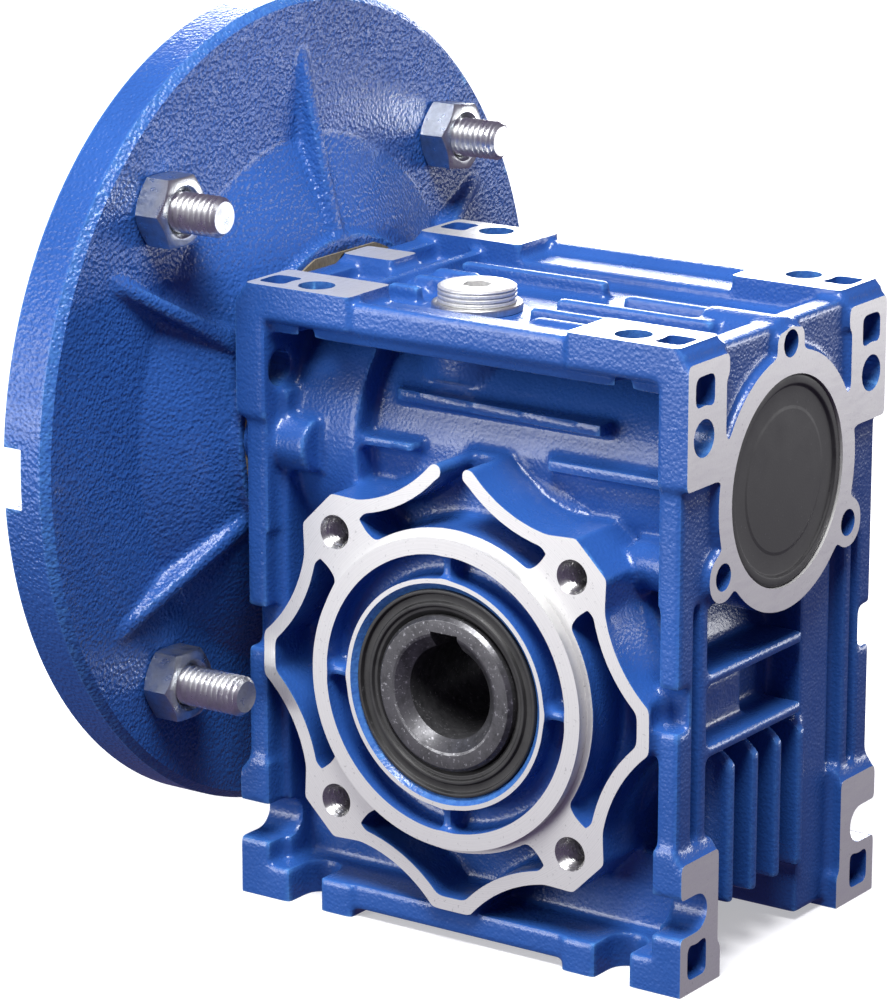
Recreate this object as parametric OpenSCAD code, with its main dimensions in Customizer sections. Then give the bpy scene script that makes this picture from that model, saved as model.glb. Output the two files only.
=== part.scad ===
// Right-angle worm gearbox with a hollow output hub and a round motor flange.
// Millimetres. The origin is the middle of the output bore. +Y runs along the output bore, with the
// machined output face at -Y and the removable side cover at +Y. The worm lies along X above the bore,
// with the motor flange at -X and the blind end cap at +X. +Z is up.

/* [Housing] */
// Width of the housing along the worm
body_w = 100; // [98:1:104]
// Depth of the housing frame along the output bore
body_d = 71; // [70:1:74]
// Height of the output bore above the foot plane
axis_h = 50; // [50:1:54]
// Height of the top pads above the worm axis
worm_top = 31.5; // [31:0.5:34]
// Thickness of the frame bars
bar_t = 6.5; // [6:0.5:7]
// Width of the frame bars
bar_w = 14; // [13.5:0.5:14]
// Diameter of the top and upper end mounting holes
mount_d = 7; // [6:0.5:7]
// Width of the open mounting slots in the foot and the lower end pads
slot_w = 7.4; // [6.2:0.2:7.4]
// Spacing of the mounting holes along the worm
mount_x = 70; // [68:1:70]
// Spacing of the mounting holes along the output bore
mount_y = 60; // [59:1:60]

/* [Output side] */
// Diameter of the output bore
bore_d = 18; // [14:1:19]
// Width of the output keyway
key_w = 6; // [4:1:6]
// Height of the output keyway's floor above the bore's middle
key_h = 11.8; // [11.4:0.1:12]
// Length of the output hub
hub_l = 78; // [77:0.5:79]
// Diameter of the spigot ring around the hub
spigot_d = 60; // [60:0.5:61]
// Distance between the two petal faces
face_l = 73; // [73:0.5:74]
// Pitch circle of the tapped holes in the petal faces
face_pcd = 75; // [74.5:0.5:75.5]
// Tapping diameter of the holes in the housing's petal face
face_tap_d = 4.9; // [4.8:0.05:5.05]
// Tapping diameter of the holes in the side cover's petal face
cover_tap_d = 5.25; // [5.15:0.05:5.35]
// Outer diameter across the petals
petal_d = 87; // [86:0.5:87]
// Thickness of the petal wall
petal_t = 2.6; // [2:0.2:3]

/* [Worm and wheel] */
// Distance between the worm axis and the output axis
centre_dist = 40; // [40:1:40]
// Gear module
gear_m = 2; // [2:1:2]
// Number of teeth on the worm wheel
wheel_teeth = 30; // [30:1:30]
// Worm pitch diameter
worm_d = 20; // [20:1:20]
// Face width of the worm wheel
wheel_w = 18; // [14:1:18]
// Gap on each flank between the worm thread and the wheel teeth
backlash = 0.15; // [0.12:0.01:0.2]
// Diameter of the motor shaft bore in the worm
input_d = 14; // [11:1:14]

/* [Motor flange] */
// Outer diameter of the motor flange
flange_d = 160; // [156:1:164]
// Thickness of the motor flange's plate
flange_t = 10; // [9:0.5:11]
// Distance of the motor face from the output axis
flange_x = 70; // [69:0.5:72]
// Pitch circle of the motor bolts
motor_pcd = 130; // [128:1:132]
// Diameter of the motor pilot recess
pilot_d = 110; // [108:1:112]
// Depth of the motor pilot recess
pilot_h = 4.5; // [4:0.5:5]
// Diameter of the motor bolt holes
motor_hole_d = 9; // [8.5:0.5:10]

/* [Cap end] */
// Diameter of the blind end cap and of the rear bearing's bore
cap_d = 40; // [40:0.5:40]
// Distance of the three cap lug holes from the worm axis
lug_r = 26; // [26:0.5:26.5]

/* [Hidden] */
$fn = 96;
e = 0.01;            // overshoot of a cut past a face
hx = body_w / 2;
hy = body_d / 2;
z_foot = -axis_h;
z_worm = centre_dist;
z_top = z_worm + worm_top;
mx = mount_x / 2;
my = mount_y / 2;
mr = mount_d / 2;
sr = slot_w / 2;
pad_l = 26;          // length of a corner pad along the worm
pad_w = 13;          // width of a corner pad along the output bore
pad_end_top = 45.5;  // lowest level of the upper end pads
pad_end_low = -25;   // highest level of the lower end pads
end_hole_z = 54.5;   // level of the upper end holes
end_notch_z = -35;   // level of the lower end notches
pocket_h = 4;        // depth of the pad pockets
pocket_ring = 6;     // radius of the land between a pad hole and its pocket
recess = 1.5;        // how far the cast faces lie behind the machined pads
y_face = face_l / 2;
y_hub = hub_l / 2;
r_spigot = spigot_d / 2;
r_ring = r_spigot + 1;
y_floor = 23.5;      // floor of the pockets behind the petals
y_body = 4;          // back of the petal-shaped part of the gear case
y_split = 22;        // joint face of the side cover
r_case = 40;         // outer radius of the gear case
r_chamber = 36;      // inner radius of the gear case
r_tube = 23;         // outer radius of the worm tube
r_collar = 28;       // outer radius of the input collar
x_collar = -27.5;    // inner end of the input collar
r_worm_bore = 13;
r_shoulder_bore = 16; // clearance around the worm's bearing shoulder
tap_depth = 10;
cover_gap = 0.15;    // gap around the side cover
plug_at = [-12, -10.5];
plug_r = 7;
z_web = 66;          // floor of the ribbed web between the top pads
z_rib = 69.5;

// petal outline: every tip and lobe ends on the same circle
tip_r = petal_d / 2 - 0.2;
tip_half = 4.2;
lobe_r = petal_d / 2 - 0.3;
lobe_half = 4.7;
side_x = 33.6;       // straight side of a lobe
side_z = 21;         // level where the concave arc leaves the side
arc_r = 28;
wall_end_z = 21;     // end of the pockets beside the lobes

// bearings as [bore radius, outer radius, width, ball pitch radius, ball radius, balls]
out_brg = [15, 27.5, 13, 21.25, 3.6, 12];
in_brg = [12.5, 23.5, 12, 18, 3.3, 11];
rear_brg = [8.5, 20, 12, 14.25, 3.3, 9];
brg_gap = 0.04;      // running gap between balls, races and cage
y_brg = 17;          // inner face of each output bearing
x_in_brg = -40.75;   // outer face of the input bearing
x_rear_brg = 30;     // inner face of the rear bearing
shim_t = 0.5;
clip_t = 1.75;
seal_w = 7;
seal_y = 38.5;       // outer face of each output seal
seal_gap = 0.05;     // running gap between a seal lip and its shaft
gasket_t = 0.4;

// worm and wheel
r1 = worm_d / 2;
r2 = centre_dist - r1;
lead = PI * gear_m;
p_rad = gear_m / 2;                   // worm lead per radian
r_tip1 = r1 + gear_m;
r_root1 = r1 - 1.2 * gear_m;
thread_l = 36;
thread_steps = 24;                    // straight pieces in one turn of the thread
tan_pa = tan(20);
r_rim = 22;                           // joint between wheel rim and hub
r_tip2 = 32.7;                        // largest radius of the wheel
r_throat = r_root1 + 0.4;
root_gap = 0.35;                      // gap between the thread's crest and the wheel's root
x_input = -65;                        // open end of the worm's hollow shaft
input_key_w = 5;
input_key_h = 9.3;
input_depth = 30;

// motor flange
r_flange = flange_d / 2;
x_plate = -flange_x + flange_t;
x_neck = -hx - gasket_t;
r_neck = 34;
r_cone = 53;
x_seat = -56;                         // seat of the flange screws' heads
flange_screw_r = 28;
gusset_r = 69;
gusset_t = 3;
bolt_angles = [45, 135, 225, 315];
bolt_out = [9, 9.3, 13, 9.3];        // how far each motor bolt stands out of its nut
nut_h = 6.5;
nut_af = 13;
bolt_r = 4;
head_h = 5.3;

// end cap side
r_cap = cap_d / 2;
r_cap_ring = 24.5;
lug_boss_r = 4.8;
lug_angles = [90, 210, 330];
cover_screw_r = 38.8;
cover_seat = 30;

// ---------- helpers ----------

// A block between two corners
module block(x0, x1, y0, y1, z0, z1)
    translate([x0, y0, z0]) cube([x1 - x0, y1 - y0, z1 - z0]);

// A cylinder along X about the line y, z
module bar_x(x0, x1, r, y = 0, z = z_worm)
    translate([x0, y, z]) rotate([0, 90, 0]) cylinder(h = x1 - x0, r = r);

// A cone along X about the worm axis
module cone_x(x0, x1, ra, rb)
    translate([x0, 0, z_worm]) rotate([0, 90, 0]) cylinder(h = x1 - x0, r1 = ra, r2 = rb);

// A cylinder along Y about the line x, z
module bar_y(y0, y1, r, x = 0, z = 0)
    translate([x, y1, z]) rotate([90, 0, 0]) cylinder(h = y1 - y0, r = r);

// A flat X-Z shape drawn out along Y
module plate_y(y0, y1)
    translate([0, y1, 0]) rotate([90, 0, 0]) linear_extrude(y1 - y0) children();

// The same thing on both sides of the middle along X
module both_x() {
    children();
    mirror([1, 0, 0]) children();
}

// The same thing on both sides of the middle along Y
module both_y() {
    children();
    mirror([0, 1, 0]) children();
}

// ---------- petal outline ----------

function arc_centre() =
    let (ax = side_x, az = side_z, bx = tip_r, bz = tip_half,
         cx = (ax + bx) / 2, cz = (az + bz) / 2,
         half = norm([bx - ax, bz - az]) / 2,
         far = sqrt(arc_r * arc_r - half * half))
    [cx + (az - bz) / (2 * half) * far, cz + (bx - ax) / (2 * half) * far];

// Concave arc from the tip to the lobe's side, moved inwards by t
function arc_points(t, n = 8) =
    let (c = arc_centre(), r = arc_r + t,
         tip_z = c[1] - sqrt(r * r - pow(c[0] - tip_r + t, 2)),
         side = c[1] - sqrt(r * r - pow(c[0] - side_x + t, 2)),
         a0 = atan2(tip_z - c[1], tip_r - t - c[0]),
         a1 = atan2(side - c[1], side_x - t - c[0]))
    [for (i = [0 : n]) let (a = a0 + (a1 < a0 - 180 ? a1 + 360 - a0 : a1 - a0) * i / n)
        [c[0] + r * cos(a), c[1] + r * sin(a)]];

function swap(p) = [p[1], p[0]];
function flip(list) = [for (i = [len(list) - 1 : -1 : 0]) list[i]];
function turn(p, a) = [p[0] * cos(a) - p[1] * sin(a), p[0] * sin(a) + p[1] * cos(a)];

// One eighth of the outline, from a tip's corner to a lobe's corner
function eighth() =
    concat(arc_points(0),
           [turn([lobe_r, -lobe_half], 45)]);
function quarter() = concat(eighth(), [for (p = flip(eighth())) swap(p)]);

module petal_shape()
    polygon([for (k = [0 : 3]) for (p = quarter()) turn(p, 90 * k)]);

// The pocket behind one tip, between the petal wall and the ring
module pocket_shape() {
    upper = concat(arc_points(petal_t),
                   [[side_x - petal_t, wall_end_z - 1], [side_x - petal_t - 1, wall_end_z],
                    [27.6, wall_end_z - 1.9], [26.6, wall_end_z - 3.4], [25, 14], [28, 7]]);
    polygon(concat(upper, [for (p = flip(upper)) [p[0], -p[1]]]));
}

// End of the petal wall where it stops beside a gap, as a point on the wall's middle line
function arm_end() =
    let (c = arc_centre(), q = arc_points(0)[0],
         a = atan2(q[1] - c[1], q[0] - c[0]) + (-1.4))
    swap([c[0] + (arc_r + petal_t / 2) * cos(a), c[1] + (arc_r + petal_t / 2) * sin(a)]);

// The output face at -Y: petals, ring, spigot, seal bore, and holes of diameter tap_d. The wall's back
// is at y_back.
module petal_face(y_back, open_top, tap_d) {
    end = arm_end();
    c = swap(arc_centre());
    out = (c - end) / norm(c - end);
    difference() {
        union() {
            difference() {
                plate_y(-y_face, -y_back) petal_shape();
                for (a = [0 : 90 : 270])
                    rotate([0, -a, 0]) plate_y(-y_face - e, -y_floor) pocket_shape();
                if (open_top) plate_y(-y_face - e, -y_floor - 2)
                    polygon([end - 4 * out, end + 4 * out, [-end[0], end[1]] + 4 * [-out[0], out[1]],
                             [-end[0], end[1]] - 4 * [-out[0], out[1]]]);
            }
            if (open_top) both_x() bar_y(-y_face, -y_floor, petal_t / 2, end[0], end[1]);
            bar_y(-y_face, -y_back, r_ring);
            bar_y(-y_hub, -y_face + 1, r_spigot);
        }
        for (a = [45 : 90 : 315]) rotate([0, -a, 0]) {
            bar_y(-y_face - e, -y_face + tap_depth, tap_d / 2, face_pcd / 2);
            translate([face_pcd / 2, -y_face - e, 0]) rotate([-90, 0, 0])
                cylinder(h = 0.3, r1 = tap_d / 2 + 0.3, r2 = tap_d / 2);
        }
        bar_y(-y_hub - e, -y_brg, 20);
        difference() {
            bar_y(-y_hub - e, -33.5, 26.8);
            bar_y(-y_hub - 1, -33, 22.2);
            for (a = [0 : 90 : 270])
                rotate([0, -a, 0]) block(22, 27, -36.5, -33, -1, 1);
        }
        bar_y(-y_brg - out_brg[2], -y_brg + 4, out_brg[1]);
    }
}

// ---------- housing ----------

// Pads, bars and posts of one corner of the frame, at +X, -Y
module frame_corner() {
    block(hx - pad_l, hx, -hy, -hy + bar_w, z_top - bar_t - 0.5, z_top);
    block(hx - pad_l, hx, -hy, -hy + bar_w, z_foot, z_foot + bar_t);
    block(hx - bar_t, hx, -hy, -hy + pad_w, pad_end_top, z_top);
    block(hx - bar_t, hx, -hy, -hy + pad_w, z_foot, pad_end_low);
    plate_y(-hy, -hy + pad_w) polygon([[hx - bar_t, pad_end_low], [hx, pad_end_low],
                                       [hx - recess, pad_end_low + 2.5], [hx - bar_t, pad_end_low + 2.5]]);
    block(hx - bar_t + 0.5, hx - recess, -hy + 0.7, -hy + 6, pad_end_low, pad_end_top);
    block(hx - bar_t - 1.5, hx - 4.5, -hy + 5, -hy + 12, z_foot + 2, pad_end_top + 5);
    block(hx - bar_t, hx - recess, -hy + 8.1, -hy + 11, pad_end_low, z_worm - 12);
}

// Holes, notches and pockets of one corner of the frame, at +X, -Y
module corner_cuts() {
    translate([mx, -my, z_top - 12]) cylinder(h = 13, r = mr);
    translate([mx, -my, z_foot - 1]) cylinder(h = 9, r = sr);
    block(mx - sr, mx + sr, -hy - 1, -my, z_foot - 1, z_foot + 8);
    bar_x(hx - 9, hx + 1, mr, -my, end_hole_z);
    bar_x(hx - 9, hx + 1, sr, -my, end_notch_z);
    block(hx - 9, hx + 1, -hy - 1, -my, end_notch_z - sr, end_notch_z + sr);
    block(hx - bar_t - 1, hx - 3.5, -hy + 0.3, -hy + 4.7, 0, 8);
    block(hx - 4.5, hx + 1, -hy - 1, -hy + 4.7, 0, 8);
    // pockets keep a round land beside each hole
    difference() {
        block(mx + 4, hx - 3.3, -my - 3, -my + 3.5, z_top - pocket_h, z_top + 1);
        translate([mx, -my, z_top - 12]) cylinder(h = 14, r = pocket_ring);
    }
    difference() {
        block(mx + 4, hx - 3.3, -my - 3, -my + 3.5, z_foot - 1, z_foot + pocket_h);
        translate([mx, -my, z_foot - 2]) cylinder(h = 14, r = pocket_ring);
    }
    difference() {
        block(hx - pocket_h, hx + 1, -my - 3, -my + 3.5, end_hole_z + 3, z_top - 5.5);
        bar_x(hx - 9, hx + 2, pocket_ring, -my, end_hole_z);
    }
    difference() {
        block(hx - pocket_h, hx + 1, -my - 3, -my + 3.5, z_foot + 2.5, end_notch_z - 3);
        bar_x(hx - 9, hx + 2, pocket_ring, -my, end_notch_z);
    }
    // sloped edge between the top pad and the end pad
    plate_y(-hy - 1, 1) polygon([[hx - 2.5, z_top + e], [hx + e, z_top + e], [hx + e, z_top - 3.3]]);
}

// Ribbed web between the top pads
module top_web() {
    block(-hx + 3, hx - 3, -hy + 2, hy - 2, z_web - 4, z_web);
    x_bar = hx - pad_l + 1;
    both_y() block(-x_bar, x_bar, -hy + 0.8, -hy + bar_w, z_top - bar_t - 0.5, z_rib - 1);
    both_y() block(-x_bar, x_bar, -hy + 0.8, -hy + 4, z_web, z_top - 1.2);
    // long ribs on the cap side
    for (y = [-21, -14.5, -5.5, 3.5]) rib(y > 0 ? 12 : (y < -18 ? 8 : 3), 37, y);
    // long rib on the flange side and two stubs beside the plug
    rib(-30, 3, 11.5);
    for (y = [-3.5, 3.5]) rib(-31, -21, y);
    rib(-31, -24, -12);
    // cross rib at the input collar
    block(-35, -32.5, -hy + bar_w, hy - bar_w, z_web - 1, z_rib);
    // wedges that rise to the end wall
    for (y = [-18, 7, 19]) plate_y(y - 1.4, y + 1.4)
        polygon([[34, z_web - 1], [hx - 3, z_web - 1], [hx - 3, z_top - 1.5], [hx - 5, z_top - 1.5]]);
    translate([plug_at[0], plug_at[1], z_web - 12]) cylinder(h = 12.4, r = plug_r + 3);
}

module rib(x0, x1, y)
    block(x0, x1, y - 1.2, y + 1.2, z_web - 1, z_rib);

// Horizontal fins around the front of the worm tube
module tube_fins() {
    plane_fin([[-25, -17], [-22, -22.5], [25, -25], [25, -17]], 49.5, 52);
    plane_fin([[-31, -20], [-30, -27], [-16, -26.5], [-14, -20]], 41, 43);
    plane_fin([[12, -20], [14, -26], [hx - 8, -26], [hx - 8, -20]], 42, 44.3);
}

module plane_fin(points, z0, z1)
    translate([0, 0, z0]) linear_extrude(z1 - z0) polygon(points);

// Shelves and cooling fins on the cap side of the gear case
module side_fins() {
    for (z = [6.5, -7.3]) block(34, hx - recess, -25, 9.5, z, z + 2.3);
    for (k = [0 : 3]) plate_y(-16.2 + 8.4 * k, -14 + 8.4 * k)
        polygon([[10, -r_case + 2], [hx - recess, -r_case + 2], [hx - recess, -11], [hx - recess - 2, -9],
                 [30, -9]]);
}

module housing() color([0.16, 0.35, 0.72]) difference() {
    union() {
        petal_face(y_body, true, face_tap_d);
        bar_y(-y_floor, y_split, r_case);
        plate_y(-y_floor - 2, -y_body) petal_shape();
        both_x() both_y() frame_corner();
        // foot rails and the webs that carry the gear case
        both_y() block(-hx + pad_l - 1, hx - pad_l + 1, -hy + 0.8, -hy + bar_w,
                       z_foot + recess, z_foot + bar_t);
        block(-hx + bar_t - 1, hx - bar_t + 1, -y_floor, -y_floor + 6, z_foot + recess, -28);
        block(-hx + 3, hx - 3, y_split - 11, y_split, z_foot + recess, z_worm + 24);
        // end walls
        both_x() block(hx - bar_t, hx - recess, -hy + 1, hy - 1, z_worm - 17, z_top - 1.5);
        // worm tube, collar and cap ring
        bar_x(-hx, x_collar, r_collar);
        bar_x(x_collar - 1, hx - 8, r_tube);
        bar_x(hx - 10, hx, r_cap_ring);
        for (a = lug_angles)
            bar_x(hx - 18, hx, lug_boss_r, lug_r * cos(a), z_worm + lug_r * sin(a));
        // bosses of the flange screws
        for (a = [0 : 90 : 270])
            bar_x(-hx, -hx + 14, 5.4, flange_screw_r * cos(a), z_worm + flange_screw_r * sin(a));
        top_web();
        tube_fins();
        side_fins();
    }
    both_x() both_y() corner_cuts();
    // seat of the side cover, which the input collar passes
    difference() {
        plate_y(y_split, y_face + 1) offset(delta = cover_gap) petal_shape();
        block(-hx, x_collar, y_split - 1, y_face + 2, 8, hx);
    }
    // nothing stands above the top pads
    block(-hx, hx, -hy, hy, z_top, z_top + 10);
    // gear chamber, open at the side cover, and the front bearing
    bar_y(-y_brg + 3, y_split + e, r_chamber);
    bar_y(-y_brg - out_brg[2], -y_brg + 4, out_brg[1]);
    bar_y(-y_hub - e, -y_brg, 20);
    // worm bore with its two bearing seats
    bar_x(-hx - e, x_in_brg + in_brg[2] + shim_t, in_brg[1]);
    bar_x(-hx + 5, hx - 5, r_worm_bore);
    bar_x(-hx + 5, x_collar + 4, r_shoulder_bore);
    bar_x(x_rear_brg, hx + e, r_cap);
    bar_x(x_rear_brg + rear_brg[2], x_rear_brg + rear_brg[2] + clip_t, r_cap + 1.2);
    bar_x(x_in_brg - clip_t, x_in_brg, in_brg[1] + 1.2);
    for (a = lug_angles)
        bar_x(hx - 14, hx + e, 2.6, lug_r * cos(a), z_worm + lug_r * sin(a));
    for (a = [0 : 90 : 270])
        bar_x(-hx - e, -hx + 12, 2.1, flange_screw_r * cos(a), z_worm + flange_screw_r * sin(a));
    for (a = [0 : 90 : 270]) rotate([0, -a, 0])
        bar_y(y_split - 7.5, y_split + e, 1.65, cover_screw_r);
    translate([plug_at[0], plug_at[1], z_worm + 4]) cylinder(h = 30, r = plug_r);
}

// ---------- side cover ----------

module side_cover() color([0.16, 0.35, 0.72]) difference() {
    union() {
        mirror([0, 1, 0]) petal_face(y_split, false, cover_tap_d);
        bar_y(y_brg + 0.5, y_split + 1, r_chamber);
        plate_y(y_split, 27) petal_shape();
        for (a = [0 : 90 : 270]) rotate([0, -a, 0]) bar_y(y_split, cover_seat, 4.4, cover_screw_r - 0.2);
    }
    bar_y(y_brg - 1, y_brg + out_brg[2], out_brg[1]);
    bar_y(y_brg, y_hub + e, 20);
    rotate([90, 0, 0]) translate([0, 0, -20]) rotate_extrude()
        translate([r_chamber - 1.9, -1.2]) square([3, 2.4]);
    // room for the input collar
    intersection() {
        bar_x(-hx, x_collar + cover_gap, r_collar + cover_gap);
        block(-hx, 0, y_split, hy, 0, z_top);
    }
    for (a = [0 : 90 : 270]) rotate([0, -a, 0]) {
        bar_y(y_brg, y_hub, 2.2, cover_screw_r);
        bar_y(cover_seat, y_hub, 3.8, cover_screw_r);
    }
}

module side_cover_screws() color("silver")
    for (a = [0 : 90 : 270]) rotate([0, -a, 0]) {
        bar_y(y_split - 7, y_split, 1.65, cover_screw_r);
        bar_y(y_split, cover_seat, 2, cover_screw_r);
        difference() {
            bar_y(cover_seat, cover_seat + 4, 3.5, cover_screw_r);
            translate([cover_screw_r, cover_seat + 4 + e, 0]) rotate([90, 0, 0])
                cylinder(h = 2.4, r = 1.73, $fn = 6);
        }
    }

module side_cover_o_ring() color([0.08, 0.08, 0.08])
    rotate([90, 0, 0]) translate([0, 0, -20]) rotate_extrude()
        translate([r_chamber - 0.95, 0]) circle(r = 0.94, $fn = 24);

// ---------- motor flange ----------

module gusset()
    plate_y(-gusset_t / 2, gusset_t / 2)
        polygon([[x_plate - 1, 0], [x_plate - 1, gusset_r + 2], [x_plate, gusset_r],
                 [-hx - 1, r_neck - 1], [-hx - 1, 0]]);

module input_flange() color([0.16, 0.35, 0.72]) difference() {
    union() {
        bar_x(-flange_x, x_plate - 1.5, r_flange);
        cone_x(x_plate - 1.5, x_plate, r_flange, r_flange - 1.5);
        cone_x(x_plate - 2, x_neck - 2, r_cone + 4, r_neck + 1);
        bar_x(x_neck - 2.5, x_neck, r_neck);
        for (a = [0 : 60 : 300]) translate([0, 0, z_worm]) rotate([a, 0, 0]) gusset();
    }
    bar_x(-flange_x - e, -flange_x + pilot_h, pilot_d / 2);
    cone_x(-flange_x + pilot_h - e, x_seat - 2, 48, 33.5);
    bar_x(x_seat - 2 - e, x_seat, 33.5);
    bar_x(x_seat - 1, x_neck + e, 20);
    for (a = bolt_angles)
        bar_x(-flange_x - e, x_plate + e, motor_hole_d / 2,
              motor_pcd / 2 * cos(a), z_worm + motor_pcd / 2 * sin(a));
    for (a = [0 : 90 : 270])
        bar_x(x_seat - e, x_neck + e, 2.75, flange_screw_r * cos(a), z_worm + flange_screw_r * sin(a));
    block(-flange_x - 1, -flange_x + 4, -r_flange - 1, -r_flange + 5, z_worm - 5.8, z_worm + 5.8);
}

module flange_gasket() color([0.35, 0.3, 0.22]) difference() {
    bar_x(x_neck, -hx, 32.5);
    bar_x(x_neck - e, -hx + e, 23.5);
    for (a = [0 : 90 : 270])
        bar_x(x_neck - e, -hx + e, 2.75, flange_screw_r * cos(a), z_worm + flange_screw_r * sin(a));
    block(x_neck - 1, 0, -hy, hy, z_top - 0.5, z_top + 10);
}

module flange_screws() color("silver")
    for (a = [0 : 90 : 270]) translate([0, flange_screw_r * cos(a), flange_screw_r * sin(a)]) {
        bar_x(-hx, -hx + 10, 2.1);
        bar_x(x_seat, -hx, 2.5);
        difference() {
            bar_x(x_seat - 5, x_seat, 4.25);
            translate([x_seat - 5 - e, 0, z_worm]) rotate([0, 90, 0]) cylinder(h = 2.6, r = 2.31, $fn = 6);
        }
    }

// A hexagon along X with chamfered corners
module hex_x(x0, x1, af)
    translate([x0, 0, z_worm]) rotate([0, 90, 0]) intersection() {
        cylinder(h = x1 - x0, r = af / 2 / cos(30), $fn = 6);
        cylinder(h = x1 - x0, r1 = af / 2 + 2, r2 = af / 2);
    }

module motor_bolts() color("silver")
    for (i = [0 : 3])
        translate([0, motor_pcd / 2 * cos(bolt_angles[i]), motor_pcd / 2 * sin(bolt_angles[i])]) {
            bar_x(-flange_x, x_plate + nut_h + bolt_out[i] - 1, bolt_r);
            cone_x(x_plate + nut_h + bolt_out[i] - 1, x_plate + nut_h + bolt_out[i], bolt_r, bolt_r - 0.9);
            mirror([1, 0, 0]) hex_x(flange_x, flange_x + head_h, nut_af);
        }

module motor_nuts() color("silver")
    for (i = [0 : 3])
        translate([0, motor_pcd / 2 * cos(bolt_angles[i]), motor_pcd / 2 * sin(bolt_angles[i])])
            difference() {
                hex_x(x_plate, x_plate + nut_h, nut_af);
                bar_x(x_plate - e, x_plate + nut_h + e, bolt_r);
            }

// ---------- covers, clips and seals ----------

module worm_end_cap() color([0.1, 0.1, 0.11]) difference() {
    union() {
        bar_x(hx - 5.5, hx - 1, r_cap);
        cone_x(hx - 1, hx - 0.4, r_cap, r_cap - 0.6);
    }
    bar_x(hx - 0.9, hx, r_cap - 2.4);
    bar_x(hx - 6, hx - 3, r_cap - 2.5);
}

// An internal circlip at x for a bore of radius r
module circlip(x, r) difference() {
    bar_x(x, x + clip_t, r + 1.1);
    bar_x(x - e, x + clip_t + e, r - 2.4);
    block(x - 1, x + clip_t + 1, -3, 3, z_worm - r - 3, z_worm - r + 4);
}

module rear_circlip() color([0.25, 0.25, 0.27]) circlip(x_rear_brg + rear_brg[2], r_cap);
module input_circlip() color([0.25, 0.25, 0.27]) circlip(x_in_brg - clip_t, in_brg[1]);

module worm_shim() color("silver") difference() {
    bar_x(x_in_brg + in_brg[2], x_in_brg + in_brg[2] + shim_t, in_brg[1]);
    bar_x(x_in_brg, x_in_brg + 20, in_brg[1] - 4);
}

// A rotary shaft seal: an outer case, a recessed face and a lip on the shaft
module seal_ring(ro, ri) rotate_extrude() polygon([
    [ro, 0], [ro, seal_w], [ri + 1.8, seal_w], [ri + 1.8, 2.2], [ri + 1, 3.2], [ri + seal_gap, 3.6],
    [ri + seal_gap, 1.4], [ri + 1.2, 0.5], [ri + 2, 0.5], [ri + 2.3, 0]]);

module output_seal_front() color([0.1, 0.1, 0.11])
    translate([0, -seal_y, 0]) rotate([-90, 0, 0]) seal_ring(20, out_brg[0]);
module output_seal_rear() color([0.1, 0.1, 0.11])
    translate([0, seal_y, 0]) rotate([90, 0, 0]) seal_ring(20, out_brg[0]);
module input_oil_seal() color([0.1, 0.1, 0.11])
    translate([x_in_brg - clip_t - seal_w, 0, z_worm]) rotate([0, 90, 0]) seal_ring(in_brg[1], in_brg[0]);

module filler_plug() color("silver") translate([plug_at[0], plug_at[1], 0]) difference() {
    union() {
        translate([0, 0, z_web - 10]) cylinder(h = 10.4 + 1.5, r = plug_r);
        translate([0, 0, z_web + 1.9]) cylinder(h = 0.5, r1 = plug_r, r2 = plug_r + 0.5);
        for (k = [0 : 1])
            translate([0, 0, z_web + 2.4 + k]) rotate_extrude()
                polygon([[0, 0], [plug_r + 0.5, 0], [plug_r - 0.1, 0.5], [plug_r + 0.5, 1], [0, 1]]);
        translate([0, 0, z_web + 4.4]) cylinder(h = 0.8, r1 = plug_r + 0.5, r2 = plug_r);
    }
    translate([0, 0, z_web + 1.2]) cylinder(h = 5, r = 3.46, $fn = 6);
}

module plug_washer() color([0.8, 0.8, 0.78]) translate([plug_at[0], plug_at[1], z_web + 0.4]) difference() {
    cylinder(h = 1.5, r = plug_r + 1.7);
    translate([0, 0, -1]) cylinder(h = 4, r = plug_r);
}

// ---------- bearings ----------

// Bearings are drawn along +Z from their near face
module outer_race(b) rotate_extrude() difference() {
    translate([b[3] + 0.45 * b[4], 0]) square([b[1] - b[3] - 0.45 * b[4], b[2]]);
    translate([b[3], b[2] / 2]) circle(r = b[4] + brg_gap);
}

module inner_race(b) rotate_extrude() difference() {
    translate([b[0], 0]) square([b[3] - 0.45 * b[4] - b[0], b[2]]);
    translate([b[3], b[2] / 2]) circle(r = b[4] + brg_gap);
}

module balls(b) for (i = [0 : b[5] - 1])
    rotate([0, 0, 360 / b[5] * i]) translate([b[3], 0, b[2] / 2]) sphere(r = b[4], $fn = 32);

module cage(b) difference() {
    rotate_extrude() translate([b[3] - 0.28 * b[4], b[2] / 2 - b[4] * 1.25])
        square([0.56 * b[4], 2.5 * b[4]]);
    for (i = [0 : b[5] - 1])
        rotate([0, 0, 360 / b[5] * i]) translate([b[3] - b[4], 0, b[2] / 2]) rotate([0, 90, 0])
            cylinder(h = 2 * b[4], r = b[4] + brg_gap);
}

module at_front() translate([0, -y_brg, 0]) rotate([90, 0, 0]) children();
module at_back() translate([0, y_brg, 0]) rotate([-90, 0, 0]) children();
module at_input() translate([x_in_brg, 0, z_worm]) rotate([0, 90, 0]) children();
module at_rear() translate([x_rear_brg, 0, z_worm]) rotate([0, 90, 0]) children();

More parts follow.
